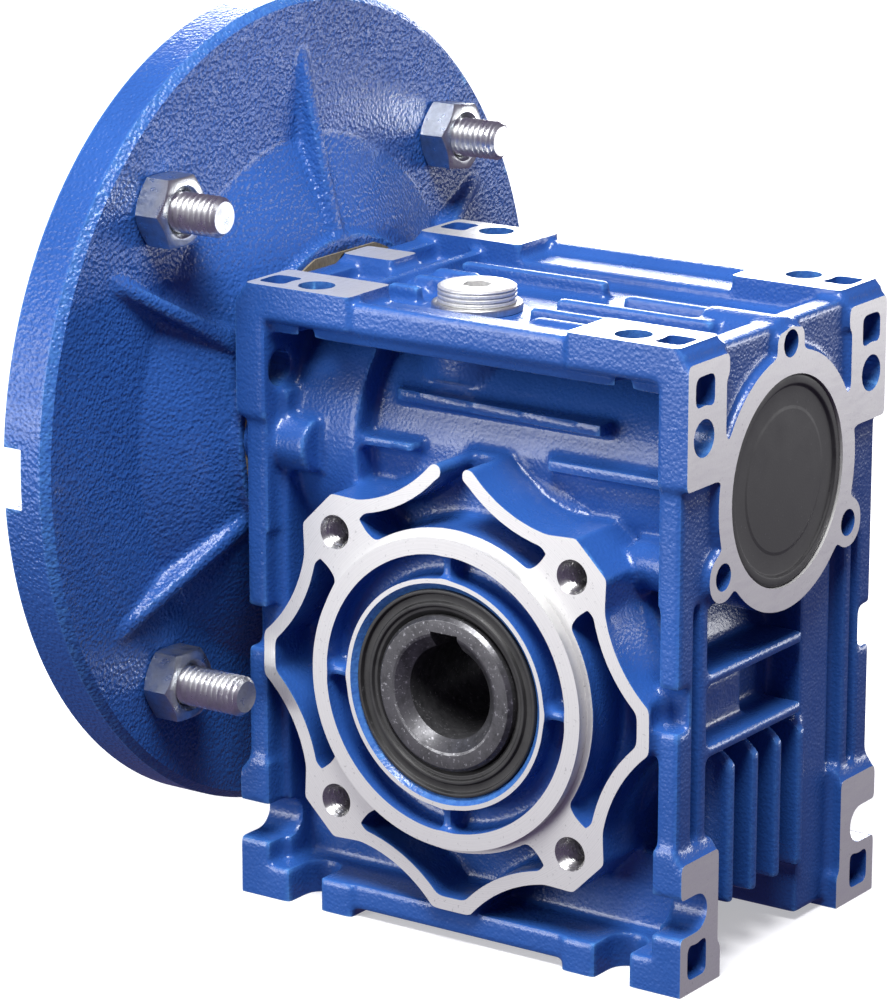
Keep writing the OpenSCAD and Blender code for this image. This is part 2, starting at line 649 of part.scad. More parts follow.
module front_bearing_outer_race() color("gainsboro") at_front() outer_race(out_brg);
module back_bearing_outer_race() color("gainsboro") at_back() outer_race(out_brg);
module input_bearing_outer_race() color("gainsboro") at_input() outer_race(in_brg);
module rear_bearing_outer_race() color("gainsboro") at_rear() outer_race(rear_brg);
module front_bearing_inner_race() color("gainsboro") at_front() inner_race(out_brg);
module back_bearing_inner_race() color("gainsboro") at_back() inner_race(out_brg);
module input_bearing_inner_race() color("gainsboro") at_input() inner_race(in_brg);
module rear_bearing_inner_race() color("gainsboro") at_rear() inner_race(rear_brg);
module front_bearing_balls() color("white") at_front() balls(out_brg);
module back_bearing_balls() color("white") at_back() balls(out_brg);
module input_bearing_balls() color("white") at_input() balls(in_brg);
module rear_bearing_balls() color("white") at_rear() balls(rear_brg);
module front_bearing_cage() color("goldenrod") at_front() cage(out_brg);
module back_bearing_cage() color("goldenrod") at_back() cage(out_brg);
module input_bearing_cage() color("goldenrod") at_input() cage(in_brg);
module rear_bearing_cage() color("goldenrod") at_rear() cage(rear_brg);

// ---------- output hub and wheel rim ----------

module output_hub() color([0.2, 0.2, 0.21]) difference() {
    rotate([90, 0, 0]) rotate_extrude() polygon([
        [bore_d / 2 + 2, -y_hub], [out_brg[0] - 0.8, -y_hub], [out_brg[0], -y_hub + 0.8],
        [out_brg[0], -y_brg], [18, -y_brg], [18, -wheel_w / 2], [r_rim, -wheel_w / 2],
        [r_rim, wheel_w / 2], [18, wheel_w / 2], [18, y_brg], [out_brg[0], y_brg],
        [out_brg[0], y_hub - 0.8], [out_brg[0] - 0.8, y_hub], [bore_d / 2 + 2, y_hub],
        [bore_d / 2, y_hub - 2], [bore_d / 2, -y_hub + 2]]);
    block(-key_w / 2, key_w / 2, -y_hub - 1, y_hub + 1, 0, key_h);
}

// How far the thread's flank lies from its middle line at radius r
function flank(r) = PI * gear_m / 4 - (r - r1) * tan_pa;

// Place along X of the thread's side s (+1 or -1) at slice y, wheel radius R and wheel angle th (radians)
function thread_x(y, R, th, s, x = 0, n = 4) =
    n == 0 ? x
    : let (h = centre_dist - sqrt(max(1, R * R - x * x)), r = sqrt(y * y + h * h))
      thread_x(y, R, th, s, p_rad * atan2(y, h) * PI / 180 + r2 * th + s * flank(r), n - 1);

// Angle in the wheel that the thread's side reaches, or 0 where the thread isn't that tall
function reach(y, R, th, s) =
    let (x = thread_x(y, R, th, s, r2 * th), h = centre_dist - sqrt(max(1, R * R - x * x)))
    s * (atan2(x, centre_dist - h) - th * 180 / PI)
    * (norm([y, h]) > r_tip1 + root_gap ? 0 : 1);

// Half-angle of the tooth gap on side s, over every wheel angle at which they touch
function gap_angle(y, R, s) =
    max([for (i = [-14 : 14]) reach(y, R, i * 0.03, s)]) + backlash / R * 180 / PI;

function wheel_root(y) = centre_dist - sqrt(pow(r_tip1 + root_gap, 2) - y * y);
function wheel_tip(y) = abs(y) < r_throat
    ? min(r_tip2, centre_dist - sqrt(r_throat * r_throat - y * y)) : r_tip2;

// One slice of the wheel: for each gap, down one flank and up the other
function wheel_slice(y, nr = 3) =
    let (root = wheel_root(y), tip = wheel_tip(y),
         radii = [for (j = [0 : nr]) tip + (root - tip) * j / nr],
         left = [for (R = radii) [R, -gap_angle(y, max(R, root + 0.1), -1)]],
         right = [for (R = flip(radii)) [R, gap_angle(y, max(R, root + 0.1), 1)]])
    [for (k = [0 : wheel_teeth - 1]) for (q = concat(left, right))
        let (b = q[1] + 360 / wheel_teeth * k) [q[0] * sin(b), y, q[0] * cos(b)]];

// The toothed rim: an outer skin through the slices, flat ends, and a plain wall inside the bore
module worm_wheel_rim() color([0.72, 0.53, 0.28]) {
    m = 8;
    rings = [for (i = [0 : m]) wheel_slice((i / m - 0.5) * wheel_w)];
    n = len(rings[0]);
    wall = [for (i = [0, m]) [for (p = rings[i])
        let (r = (r_rim - 1) / norm([p[0], p[2]])) [p[0] * r, p[1], p[2] * r]]];
    difference() {
        polyhedron(
            points = [for (ring = concat(rings, flip(wall))) each ring],
            faces = [for (i = [0 : m + 2]) for (j = [0 : n - 1])
                let (a = i * n + j, b = i * n + (j + 1) % n, up = i == m + 2 ? -(m + 2) * n : n)
                each [[a, b + up, b], [a, a + up, b + up]]]);
        bar_y(-wheel_w, wheel_w, r_rim);
    }
}

// ---------- worm ----------

// Height of the thread at turn angle a, which tapers to nothing at both ends
function thread_h(a, turns) =
    let (left = min(a, turns * 360 - a) / 180) r_root1 + (r_tip1 - r_root1) * min(1, max(0.02, left));

// Thread section at angle a: two points under the root circle and two on the crest
function thread_ring(a, turns) =
    let (top = thread_h(a, turns), low = r_root1 - 0.5, x = p_rad * (a - turns * 180) * PI / 180,
         psi = a - turns * 180,
         pts = [[-flank(low), low], [-flank(top), top], [flank(top), top], [flank(low), low]])
    [for (q = pts) [x + q[0], q[1] * sin(psi), -q[1] * cos(psi)]];

module worm_thread() {
    turns = floor(thread_l / lead);
    steps = turns * thread_steps;
    rings = [for (i = [0 : steps]) thread_ring(360 / thread_steps * i, turns)];
    translate([0, 0, z_worm]) polyhedron(
        points = [for (r = rings) each r],
        faces = concat(
            [for (i = [0 : steps - 1]) for (j = [0 : 3])
                let (a = i * 4 + j, b = i * 4 + (j + 1) % 4) [a, b, b + 4]],
            [for (i = [0 : steps - 1]) for (j = [0 : 3])
                let (a = i * 4 + j, b = i * 4 + (j + 1) % 4) [a, b + 4, a + 4]],
            [[3, 2, 1, 0], [for (j = [0 : 3]) steps * 4 + j]]));
}

module worm_shaft() color([0.55, 0.55, 0.57]) difference() {
    union() {
        bar_x(-21, 21, r_root1);
        worm_thread();
        bar_x(x_in_brg + in_brg[2], -20, 11);
        bar_x(x_in_brg + in_brg[2], x_in_brg + in_brg[2] + 2.5, 14.5);
        bar_x(x_input, x_in_brg + in_brg[2], in_brg[0]);
        bar_x(20, x_rear_brg, 10.5);
        bar_x(x_rear_brg, x_rear_brg + rear_brg[2] + 1, rear_brg[0]);
    }
    bar_x(x_input - e, x_input + input_depth, input_d / 2);
    cone_x(x_input - e, x_input + 1, input_d / 2 + 1, input_d / 2);
    block(x_input - 1, x_input + input_depth, -input_key_w / 2, input_key_w / 2,
          z_worm, z_worm + input_key_h);
}

housing();
side_cover();
side_cover_screws();
side_cover_o_ring();
input_flange();
flange_gasket();
flange_screws();
motor_bolts();
motor_nuts();
worm_end_cap();
rear_circlip();
input_circlip();
worm_shim();
input_oil_seal();
output_seal_front();
output_seal_rear();
filler_plug();
plug_washer();
front_bearing_outer_race();
back_bearing_outer_race();
input_bearing_outer_race();
rear_bearing_outer_race();
output_hub();
worm_wheel_rim();
front_bearing_inner_race();
back_bearing_inner_race();
worm_shaft();
input_bearing_inner_race();
rear_bearing_inner_race();
front_bearing_balls();
front_bearing_cage();
back_bearing_balls();
back_bearing_cage();
input_bearing_balls();
input_bearing_cage();
rear_bearing_balls();
rear_bearing_cage();
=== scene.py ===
import math

import bmesh
import bpy
import numpy as np
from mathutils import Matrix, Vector


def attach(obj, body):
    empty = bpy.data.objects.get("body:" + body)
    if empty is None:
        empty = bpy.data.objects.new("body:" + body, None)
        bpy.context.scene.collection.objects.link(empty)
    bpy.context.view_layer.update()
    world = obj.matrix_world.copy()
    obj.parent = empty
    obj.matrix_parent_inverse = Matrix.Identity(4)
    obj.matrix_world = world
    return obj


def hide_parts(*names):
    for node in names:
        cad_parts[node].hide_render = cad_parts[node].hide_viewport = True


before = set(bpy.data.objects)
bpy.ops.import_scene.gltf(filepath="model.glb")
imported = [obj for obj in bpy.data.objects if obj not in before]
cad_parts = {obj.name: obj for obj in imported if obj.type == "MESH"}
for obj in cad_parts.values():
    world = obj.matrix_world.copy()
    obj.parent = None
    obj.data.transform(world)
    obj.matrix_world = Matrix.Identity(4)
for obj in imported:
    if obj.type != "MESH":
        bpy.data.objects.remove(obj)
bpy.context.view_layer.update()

# Sizes are in millimetres in the row frame, and objects are made in metres.
MM = 0.001

# main sizes of the gearbox
HALF_X = 50.0           # pads at the worm's ends
HALF_Y = 35.5           # front and back of the frame
CORNER_GAP = 1.0        # depth of the cast strip between two milled pads at a corner
Z_FOOT = -50.0
Z_TOP = 71.5
Z_WORM = 40.0
WORM_LINE = (0.0, 0.0, Z_WORM)
Y_FACE = 36.5           # petal faces
Y_HUB = 39.0            # spigot and hub faces
R_SPIGOT = 30.0
R_SEAL = 20.0
SEAL_SEAT = 29.0        # the bottom of a seal's bore
R_CAP = 20.0
X_MOTOR = -70.0         # motor face of the flange
X_PLATE = -60.0
R_FLANGE = 80.0
RIM_BEVEL = 1.5
R_PILOT = 55.0
PILOT_DEPTH = 4.5
R_MOTOR_BOLTS = 65.0
BOLT_ANGLES = (45, 135, 225, 315)
BOLT_OUT = (9.0, 9.3, 13.0, 9.3)    # threads past the nuts, as in the photo
NUT_HEIGHT = 6.5
NUT_FLATS = 13.0
HEAD_HEIGHT = 5.3
PLUG_AT = (-12.0, -10.5)
TOP_POCKET = 66.0       # the face under the filler plug
R_FACE_HOLES = 37.5     # tapped holes in the petal faces
R_TAP = 3.0
TAP_DEPTH = 10.0
MOUNT_X, MOUNT_Y = 35.0, 30.0
R_MOUNT = 3.5           # plain holes in the top and the ends
END_HOLE_Z = 54.5
R_LUGS = 26.0           # holes round the end cap
R_LUG_HOLE = 2.6
LUG_ANGLES = (90, 210, 330)
GUSSET_ANGLES = range(0, 360, 60)

STOCK = 1.6             # left on a casting before it is machined
VOXEL = 0.65            # grid of a casting's skin
SHARP = math.radians(32)
FAR = 90.0              # past every side of the housing


# ---------- mesh helpers ----------

def place(axis, centre, r, a, t):
    """Points at radius r and angle a round an axis through centre, at distance t along it."""
    c, s = r * np.cos(a), r * np.sin(a)
    return np.stack({"x": (t, c, s), "y": (s, t, c), "z": (c, s, t)}[axis], -1) + np.array(centre)


def skin(axis, centre, radii, distances, closed=False):
    """A solid through rows of radii and distances, one column for each angle of a full turn."""
    rows, columns = radii.shape
    a = np.linspace(0, 2 * math.pi, columns)
    points = place(axis, centre, radii, a[None, :] + 0 * radii, distances).reshape(-1, 3)
    faces = []
    for i in range(rows if closed else rows - 1):
        k = (i + 1) % rows
        faces += [(i * columns + j, i * columns + j + 1, k * columns + j + 1, k * columns + j)
                  for j in range(columns - 1)]
    if not closed:
        faces.append(tuple(range(columns - 1)))
        faces.append(tuple((rows - 1) * columns + j for j in reversed(range(columns - 1))))
    return points, faces


def lathe(axis, centre, profile, segments=128):
    """A solid turned from a closed loop of (radius, distance) corners."""
    p = np.array(profile, float)
    flat = np.ones(segments + 1)
    return skin(axis, centre, p[:, :1] * flat, p[:, 1:2] * flat, closed=True)


def rod(axis, centre, r, t0, t1, segments=96):
    return skin(axis, centre, np.full((2, segments + 1), r), np.array([[t0], [t1]]) * np.ones(segments + 1))


def tube(axis, centre, r_in, r_out, t0, t1, segments=128):
    return lathe(axis, centre, [(r_in, t0), (r_out, t0), (r_out, t1), (r_in, t1)], segments)


def rounded(corners, steps=4):
    """A closed loop of (radius, distance, fillet) corners with each corner rounded by its fillet."""
    out = []
    n = len(corners)
    for i in range(n):
        a, p, b = (np.array(corners[(i + k) % n][:2], float) for k in (-1, 0, 1))
        fillet = corners[i][2]
        if fillet <= 0:
            out.append(tuple(p))
            continue
        u, v = (a - p) / np.linalg.norm(a - p), (b - p) / np.linalg.norm(b - p)
        half = math.acos(max(-1.0, min(1.0, float(u @ v)))) / 2
        reach = min(fillet / math.tan(half), 0.49 * np.linalg.norm(a - p), 0.49 * np.linalg.norm(b - p))
        s, e = p + u * reach, p + v * reach
        for k in range(steps + 1):
            w = k / steps
            out.append(tuple((1 - w) ** 2 * s + 2 * w * (1 - w) * p + w * w * e))
    return out


def threaded(axis, centre, r_out, depth, pitch, t0, t1, chamfer=0.0, flare=0.0, segments=48):
    """A rod with a right-hand thread. chamfer takes its t1 end down, and flare widens its t0 end."""
    per_pitch = 8
    a = np.linspace(0, 2 * math.pi, segments + 1)
    rows = int((t1 - t0) / pitch * per_pitch) + 2 * per_pitch + 2
    t = t0 + (np.arange(rows)[:, None] - per_pitch) * pitch / per_pitch - pitch / per_pitch
    t = np.clip(t + pitch * a[None, :] / (2 * math.pi), t0, t1)
    phase = (t - t0) / pitch - a[None, :] / (2 * math.pi)
    wave = np.abs((phase % 1.0) * 2 - 1)
    r = r_out - depth * np.clip(wave * 1.3 - 0.15, 0, 1)
    if chamfer:
        r = np.minimum(r, r_out - chamfer + (t1 - t))
    if flare:
        r = np.maximum(r, r_out + flare - np.abs(t - t0) * 0.8)
    return skin(axis, centre, r, t)


def hexagon(axis, centre, flats, t0, t1, cut0, cut1, turn=0.0):
    """A hexagonal prism whose corners are turned down at 28 degrees at the ends where cut0 or cut1 is 1."""
    columns = 96
    a = np.linspace(0, 2 * math.pi, columns + 1) + math.radians(turn)
    edge = flats / 2 / np.cos((a % (math.pi / 3)) - math.pi / 6)
    flat = np.full(columns + 1, flats / 2 * 0.94)
    drop = (edge - flat) * math.tan(math.radians(28))
    one = np.ones(columns + 1)
    r = np.stack([flat, edge, edge, flat])
    t = np.stack([t0 * one, t0 * one + drop * cut0, t1 * one - drop * cut1, t1 * one])
    return skin(axis, centre, r, t)


def box_solid(lo, hi):
    (x0, y0, z0), (x1, y1, z1) = lo, hi
    points = [(x, y, z) for x in (x0, x1) for y in (y0, y1) for z in (z0, z1)]
    faces = [(0, 1, 3, 2), (4, 6, 7, 5), (0, 4, 5, 1), (2, 3, 7, 6), (0, 2, 6, 4), (1, 5, 7, 3)]
    return np.array(points, float), faces


def solid_object(name, solids):
    """One object from several closed solids, given in millimetres."""
    bm = bmesh.new()
    for points, faces in solids:
        verts = [bm.verts.new(Vector(p) * MM) for p in points]
        for f in faces:
            corners = [verts[i] for i in f]
            if len(set(corners)) == len(corners):
                bm.faces.new(corners)
    bmesh.ops.remove_doubles(bm, verts=bm.verts, dist=1e-7)
    bmesh.ops.dissolve_degenerate(bm, edges=bm.edges, dist=1e-8)
    bmesh.ops.recalc_face_normals(bm, faces=bm.faces)
    mesh = bpy.data.meshes.new(name)
    bm.to_mesh(mesh)
    bm.free()
    obj = bpy.data.objects.new(name, mesh)
    bpy.context.scene.collection.objects.link(obj)
    return obj


def apply_modifiers(obj):
    graph = bpy.context.evaluated_depsgraph_get()
    mesh = bpy.data.meshes.new_from_object(obj.evaluated_get(graph))
    obj.modifiers.clear()
    old = obj.data
    obj.data = mesh
    bpy.data.meshes.remove(old)


def cut(obj, solids):
    """Cuts solids that don't touch one another from obj."""
    cutter = solid_object("cutter", solids)
    modifier = obj.modifiers.new("cut", "BOOLEAN")
    modifier.operation = "DIFFERENCE"
    modifier.solver = "MANIFOLD"
    modifier.object = cutter
    apply_modifiers(obj)
    mesh = cutter.data
    bpy.data.objects.remove(cutter)
    bpy.data.meshes.remove(mesh)


def shade(obj):
    """Smooth shading with sharp edges where faces meet at more than SHARP."""
    bm = bmesh.new()
    bm.from_mesh(obj.data)
    for f in bm.faces:
        f.smooth = True
    for e in bm.edges:
        e.smooth = len(e.link_faces) == 2 and e.calc_face_angle(0) < SHARP
    bm.to_mesh(obj.data)
    bm.free()


def face_table(obj):
    """The centre of every face, in millimetres, and its normal."""
    mesh = obj.data
    n = len(mesh.polygons)
    centre, normal = np.zeros(n * 3), np.zeros(n * 3)
    mesh.polygons.foreach_get("center", centre)
    mesh.polygons.foreach_get("normal", normal)
    return centre.reshape(-1, 3) / MM, normal.reshape(-1, 3)


# ---------- castings ----------

def push_faces(bm, direction, offset, stock):
    """Moves the flat faces that lie at offset along direction outwards by stock."""
    d = Vector(direction)
    faces = [f for f in bm.faces
             if f.normal.dot(d) > 0.999 and abs(f.calc_center_median().dot(d) - offset * MM) < 0.02 * MM]
    made = bmesh.ops.extrude_face_region(bm, geom=faces)
    verts = [v for v in made["geom"] if isinstance(v, bmesh.types.BMVert)]
    bmesh.ops.translate(bm, verts=verts, vec=d * stock * MM)
    bmesh.ops.delete(bm, geom=faces, context="FACES")
    bm.normal_update()


def casting(name, node, pushes, stock_solids, smooth=7, keep=0.4):
    """A rough casting: the CAD shape with machining stock, its edges and corners rounded."""
    bm = bmesh.new()
    bm.from_mesh(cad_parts[node].data)
    bmesh.ops.remove_doubles(bm, verts=bm.verts, dist=2e-6)
    bm.normal_update()
    for direction, offset in pushes:
        push_faces(bm, direction, offset, STOCK)
    mesh = bpy.data.meshes.new(name)
    bm.to_mesh(mesh)
    bm.free()
    obj = bpy.data.objects.new(name, mesh)
    bpy.context.scene.collection.objects.link(obj)
    add = solid_object("stock", stock_solids)
    bm = bmesh.new()
    bm.from_mesh(obj.data)
    bm.from_mesh(add.data)
    bm.to_mesh(obj.data)
    bm.free()
    bpy.data.objects.remove(add)
    remesh = obj.modifiers.new("skin", "REMESH")
    remesh.mode = "VOXEL"
    remesh.voxel_size = VOXEL * MM
    remesh.use_smooth_shade = True
    soften = obj.modifiers.new("soften", "SMOOTH")
    soften.factor = 0.5
    soften.iterations = smooth
    reduce = obj.modifiers.new("reduce", "DECIMATE")
    reduce.ratio = keep
    apply_modifiers(obj)
    return obj


MILLED, TURNED, THREAD = 1, 2, 3     # material slots of a casting; slot 0 is the paint


def machined_by(obj, planes, bores):
    """Gives the machined faces their materials. Planes are (direction, offset, slot), and bores are
    (axis, centre, (radius, tolerance), low, high, slot)."""
    centre, normal = face_table(obj)
    slots = np.zeros(len(centre), np.int32)
    for direction, offset, slot in planes:
        d = np.array(direction, float)
        slots[(normal @ d > 0.995) & (np.abs(centre @ d - offset) < 0.01)] = slot
    for axis, line, (radius, slack), low, high, slot in bores:
        k = "xyz".index(axis)
        off = centre - np.array(line)
        t = off[:, k].copy()
        off[:, k] = 0
        r = np.linalg.norm(off, axis=1)
        wall = np.abs(normal[:, k]) < 0.97
        slots[wall & (t > low) & (t < high) & (np.abs(r - radius) < slack)] = slot
    obj.data.polygons.foreach_set("material_index", slots)
    obj.data.update()


def around(radius, angles, centre=(0.0, 0.0)):
    return [(centre[0] + radius * math.cos(math.radians(a)), centre[1] + radius * math.sin(math.radians(a)))
            for a in angles]


def face_hole_places():
    return around(R_FACE_HOLES, BOLT_ANGLES)


def face_holes(side):
    """The four tapping cutters of a petal face at y = side * Y_FACE, and the plugs that they are cut from."""
    depth, pitch = 0.5, 1.0
    cutters, plugs = [], []
    for x, z in face_hole_places():
        if side < 0:
            low, high, flare = -Y_FACE - 0.001, -Y_FACE + TAP_DEPTH, 0.3
        else:
            low, high, flare = Y_FACE - TAP_DEPTH, Y_FACE + 0.001, 0.0
        cutters.append(threaded("y", (x, 0, z), R_TAP, depth, pitch, low, high, flare=flare))
        ends = sorted((side * (Y_FACE + STOCK), side * (Y_FACE - TAP_DEPTH + 0.5)))
        plugs.append(rod("y", (x, 0, z), R_TAP + 0.6, *ends))
    return cutters, plugs


def spigot_stock(side):
    """Stock for the spigot and for the wall round the seal's bore."""
    low, high = sorted((side * (Y_FACE - 0.8), side * (Y_HUB + STOCK)))
    bore = sorted((side * (Y_HUB + STOCK), side * 30.5))
    return [tube("y", (0, 0, 0), 27.6, R_SPIGOT + 1.3, low, high), tube("y", (0, 0, 0), 19.2, 21.6, *bore)]


def seal_bore(side):
    """The bore that holds an output seal, with its painted lead-in."""
    y, lead = Y_HUB, 1.3
    loop = [(0, y + 3), (R_SEAL + lead + 3, y + 3), (R_SEAL + lead, y), (R_SEAL, y - lead),
            (R_SEAL, SEAL_SEAT), (0, SEAL_SEAT)]
    return lathe("y", (0, 0, 0), [(r, side * t) for r, t in loop], 160)


def petal_cut(side):
    """Everything in front of a petal face and outside its spigot."""
    low, high = sorted((side * Y_FACE, side * (Y_FACE + 8)))
    return tube("y", (0, 0, 0), R_SPIGOT, 75, low, high, segments=192)


def end_rods(x0, x1, r, segments=96):
    """Rods along x on the four plain end holes, from x0 to x1 on either side."""
    return [rod("x", (0, sy * MOUNT_Y, END_HOLE_Z), r, *sorted((sx * x0, sx * x1)), segments)
            for sx in (-1, 1) for sy in (-1, 1)]


def corner_fills():
    """Fill the frame's corners, so that only a narrow cast strip is left between two milled pads."""
    inner_x, inner_top, inner_foot, along = 47.2, 68.7, -47.2, 13
    fills = []
    for sx in (-1, 1):
        for sy in (-1, 1):
            for low, high in ((inner_top, Z_TOP - CORNER_GAP), (Z_FOOT + CORNER_GAP, inner_foot)):
                xs = sorted((sx * inner_x, sx * (HALF_X - CORNER_GAP)))
                ys = sorted((sy * HALF_Y, sy * (HALF_Y - along)))
                fills.append(box_solid((xs[0], ys[0], low), (xs[1], ys[1], high)))
    return fills


def housing_casting():
    holes, plugs = face_holes(-1)
    tops = [(sx * MOUNT_X, sy * MOUNT_Y) for sx in (-1, 1) for sy in (-1, 1)]
    lugs = around(R_LUGS, LUG_ANGLES, (0, Z_WORM))
    top_floor, end_floor, lug_floor, cap_floor = 65.8, 44.8, 37, 45      # how deep the plugs of stock reach
    stock = plugs + spigot_stock(-1)
    stock += [rod("z", (x, y, 0), R_MOUNT + 0.5, top_floor, Z_TOP + STOCK) for x, y in tops]
    stock += end_rods(end_floor, HALF_X + STOCK, R_MOUNT + 0.5)
    stock += [rod("x", (0, y, z), R_LUG_HOLE + 0.5, lug_floor, HALF_X + STOCK) for y, z in lugs]
    stock += [tube("x", WORM_LINE, R_CAP - 0.8, R_CAP + 0.8, cap_floor, HALF_X + STOCK)]
    obj = casting("housing_casting", "housing",
                  [((1, 0, 0), HALF_X), ((-1, 0, 0), HALF_X), ((0, 0, 1), Z_TOP), ((0, 0, -1), -Z_FOOT),
                   ((0, -1, 0), Y_FACE), ((0, -1, 0), Y_HUB)], stock + corner_fills())
    cut(obj, [box_solid((HALF_X, -FAR, -FAR), (FAR, FAR, FAR)),
              box_solid((-FAR, -FAR, -FAR), (-HALF_X, FAR, FAR))])
    cut(obj, [box_solid((-FAR, -FAR, Z_TOP), (FAR, FAR, FAR)),
              box_solid((-FAR, -FAR, -FAR), (FAR, FAR, Z_FOOT))])
    cut(obj, [petal_cut(-1)])
    cut(obj, [box_solid((-FAR, -FAR, -FAR), (FAR, -Y_HUB, FAR))])
    bores = [seal_bore(-1), rod("x", WORM_LINE, R_CAP, 44, 52, 160)]
    bores += [rod("z", (x, y, 0), R_MOUNT, 58, 74, 64) for x, y in tops]
    bores += end_rods(40, 53, R_MOUNT, 64)
    bores += [rod("x", (0, y, z), R_LUG_HOLE, 36, 53, 48) for y, z in lugs]
    cut(obj, bores + holes)
    machined_by(obj,
                [((1, 0, 0), HALF_X, MILLED), ((-1, 0, 0), HALF_X, MILLED), ((0, 0, 1), Z_TOP, MILLED),
                 ((0, 0, -1), -Z_FOOT, MILLED), ((0, -1, 0), Y_FACE, TURNED), ((0, -1, 0), Y_HUB, TURNED)],
                [("y", (0, 0, 0), (R_SPIGOT, 0.02), -Y_HUB, -Y_FACE, TURNED),
                 ("y", (0, 0, 0), (R_SEAL, 0.02), -Y_HUB, -SEAL_SEAT, TURNED),
                 ("x", WORM_LINE, (R_CAP, 0.02), 43, HALF_X, MILLED)]
                + [("y", (x, 0, z), (R_TAP - 0.2, 0.62), -Y_FACE, -Y_FACE + TAP_DEPTH + 0.1, THREAD)
                   for x, z in face_hole_places()])
    return obj


def cover_casting():
    holes, plugs = face_holes(1)
    obj = casting("side_cover_casting", "side_cover", [((0, 1, 0), Y_FACE), ((0, 1, 0), Y_HUB)],
                  plugs + spigot_stock(1))
    cut(obj, [petal_cut(1)])
    cut(obj, [box_solid((-FAR, Y_HUB, -FAR), (FAR, FAR, FAR))])
    cut(obj, [seal_bore(1)] + holes)
    machined_by(obj,
                [((0, 1, 0), Y_FACE, TURNED), ((0, 1, 0), Y_HUB, TURNED)],
                [("y", (0, 0, 0), (R_SPIGOT, 0.02), Y_FACE, Y_HUB, TURNED),
                 ("y", (0, 0, 0), (R_SEAL, 0.02), SEAL_SEAT, Y_HUB, TURNED)]
                + [("y", (x, 0, z), (R_TAP - 0.2, 0.62), Y_FACE - TAP_DEPTH - 0.1, Y_FACE, THREAD)
                   for x, z in face_hole_places()])
    return obj


def gusset_wedge(angle):
    """A drafted rib of the flange, from the plate to the neck, as a closed solid."""
    half_top, half_base = 0.5, (0.92, 2.3, 2.3, 2.3)
    ridge = [(X_PLATE + 0.2, 69.5), (-51.0, 34.0)]
    base = [(X_PLATE - 1.0, 66.0), (X_PLATE - 1.0, 50.0), (-54.0, 34.0), (-51.0, 31.0)]
    ca, sa = math.cos(math.radians(angle)), math.sin(math.radians(angle))

    def at(x, r, w):
        return (x, w * ca - r * sa, Z_WORM + r * ca + w * sa)

    points = [at(x, r, -half_top) for x, r in ridge] + [at(x, r, half_top) for x, r in ridge]
    points += [at(x, r, -w) for (x, r), w in zip(base, half_base)]
    points += [at(x, r, w) for (x, r), w in zip(base, half_base)]
    bm = bmesh.new()
    verts = [bm.verts.new(p) for p in points]
    bmesh.ops.convex_hull(bm, input=verts)
    bm.verts.ensure_lookup_table()
    bm.verts.index_update()
    solid = np.array([v.co[:] for v in bm.verts]), [tuple(v.index for v in f.verts) for f in bm.faces]
    bm.free()
    return solid


def flange_casting():
    stock = [tube("x", WORM_LINE, 47.6, R_PILOT + 0.9, X_MOTOR - STOCK, X_MOTOR + PILOT_DEPTH + 0.5),
             tube("x", WORM_LINE, 73, R_FLANGE + STOCK, X_MOTOR - STOCK, X_PLATE)]
    stock += [gusset_wedge(a) for a in GUSSET_ANGLES]
    obj = casting("motor_flange_casting", "input_flange", [((-1, 0, 0), -X_MOTOR)], stock,
                  smooth=3, keep=0.45)
    cut(obj, [box_solid((X_MOTOR - 20, -120, -120), (X_MOTOR, 120, 200))])
    notch_half, notch_depth, notch_high = 5.8, 5, 4
    rim = [(R_FLANGE, X_PLATE - RIM_BEVEL - 0.8 * k) for k in range(11)]     # rows keep the rim's faces short
    rim += [(R_FLANGE, X_MOTOR - 1), (R_FLANGE + 5, X_MOTOR - 1), (R_FLANGE + 5, X_PLATE + 1)]
    cut(obj, [lathe("x", WORM_LINE, rim + [(R_FLANGE - RIM_BEVEL - 1, X_PLATE + 1)], 288)])
    cut(obj, [rod("x", WORM_LINE, R_PILOT, X_MOTOR - 1, X_MOTOR + PILOT_DEPTH, 192),
              box_solid((X_MOTOR - 1, -R_FLANGE - 1, Z_WORM - notch_half),
                        (X_MOTOR + notch_high, -R_FLANGE + notch_depth, Z_WORM + notch_half))])
    machined_by(obj,
                [((-1, 0, 0), -X_MOTOR, MILLED), ((-1, 0, 0), -(X_MOTOR + PILOT_DEPTH), MILLED)],
                [("x", WORM_LINE, (R_PILOT, 0.03), X_MOTOR, X_MOTOR + PILOT_DEPTH, MILLED)])
    return obj


# ---------- fasteners, seals and covers ----------

def bolt_places():
    return around(R_MOTOR_BOLTS, BOLT_ANGLES, (0, Z_WORM))


def motor_bolts():
    r_thread, depth, pitch, r_collar = 3.9, 0.62, 1.25, 5.9
    solids = []
    for (y, z), out in zip(bolt_places(), BOLT_OUT):
        line = (0, y, z)
        end = X_PLATE + NUT_HEIGHT + out
        solids.append(threaded("x", line, r_thread, depth, pitch, X_PLATE - 2, end, chamfer=0.9, segments=64))
        solids.append(rod("x", line, r_thread + 0.05, X_MOTOR + 0.5, X_PLATE - 1.9, 64))
        solids.append(hexagon("x", line, NUT_FLATS, X_MOTOR - HEAD_HEIGHT, X_MOTOR, 1, 0))
        solids.append(tube("x", line, 0, r_collar, X_MOTOR - 0.2, X_MOTOR, 48))
    return solid_object("motor_bolts_threaded", solids)


